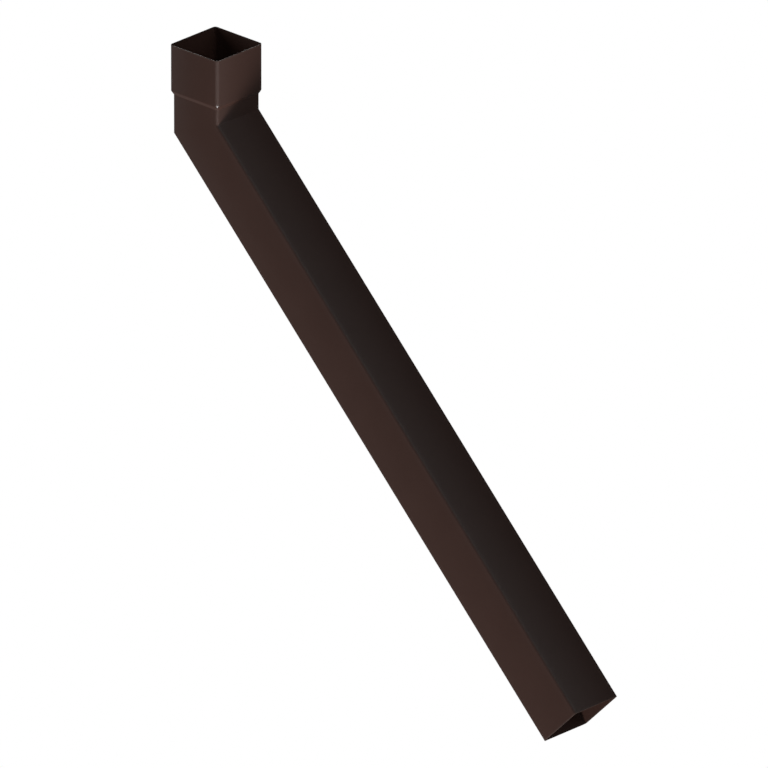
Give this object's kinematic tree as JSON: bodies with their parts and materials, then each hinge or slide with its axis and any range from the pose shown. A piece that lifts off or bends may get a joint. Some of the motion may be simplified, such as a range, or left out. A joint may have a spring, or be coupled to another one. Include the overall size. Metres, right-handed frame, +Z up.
{
  "type": "downspout elbow",
  "caption": "Square sheet-metal rain pipe elbow with a widened inlet socket, a short neck, one mitred bend and a long straight leg cut square.",
  "frame": {"origin": "centre of the inlet socket's mouth, in the plane of its rim", "axes": "+Z up along the socket's axis, out of its mouth; +X horizontal, the way the leg runs down and away; +Y level, across the leg"},
  "size_m": [0.7237, 0.0856, 0.7894],
  "materials": {
    "brown_coated_steel": "satin chocolate brown coating inside and out"
  },
  "bodies": {
    "root": {"elbow": "brown_coated_steel"}
  },
  "joints": []
}
